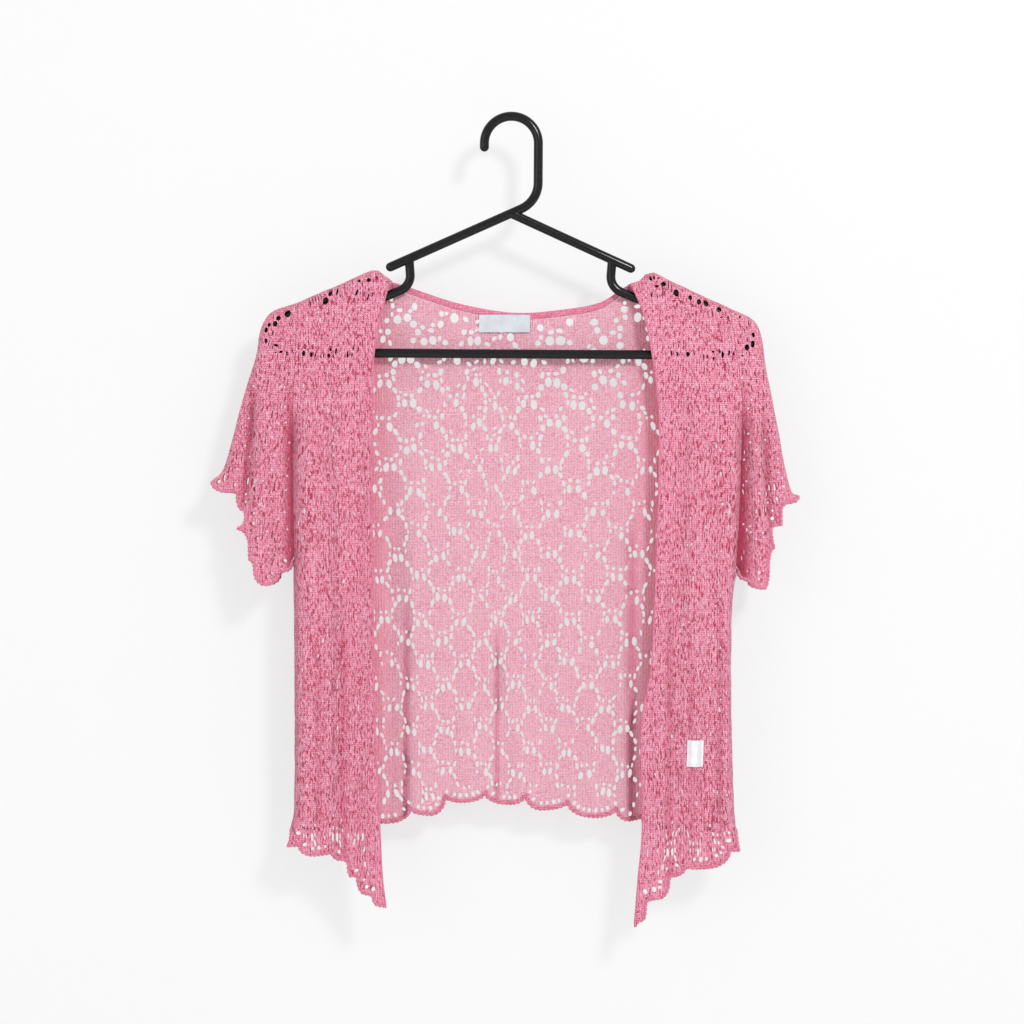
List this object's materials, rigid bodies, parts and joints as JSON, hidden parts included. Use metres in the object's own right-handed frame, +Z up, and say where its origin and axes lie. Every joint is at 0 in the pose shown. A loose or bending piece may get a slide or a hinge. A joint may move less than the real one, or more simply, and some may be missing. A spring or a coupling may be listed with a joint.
{
  "type": "crochet cardigan on clothes hanger",
  "caption": "Short-sleeved open lace cardigan with scalloped hems, hung on a tubular clothes hanger with strap notches.",
  "frame": {"origin": "underside of the hook's crown, where a rail, knob or peg holds the hanger", "axes": "+Z up along the hanging garment, -Y out of the fronts, +X towards the wearer's left sleeve"},
  "size_m": [0.5014, 0.0311, 0.6943],
  "materials": {
    "hanger_plastic": "gloss black moulded plastic",
    "front_yarn": "mid pink openwork knit",
    "back_yarn": "pink openwork knit, paler where light comes through",
    "binding_yarn": "dense pink knitted binding",
    "label_cloth": "plain white satin tape"
  },
  "bodies": {
    "root": {"hanger": "hanger_plastic", "back": "back_yarn", "front_right": "front_yarn", "front_left": "front_yarn", "sleeve_right_front": "front_yarn", "sleeve_right_back": "front_yarn", "sleeve_left_front": "front_yarn", "sleeve_left_back": "front_yarn", "neck_binding": "binding_yarn", "neck_label": "label_cloth", "care_label": "label_cloth"}
  },
  "joints": []
}
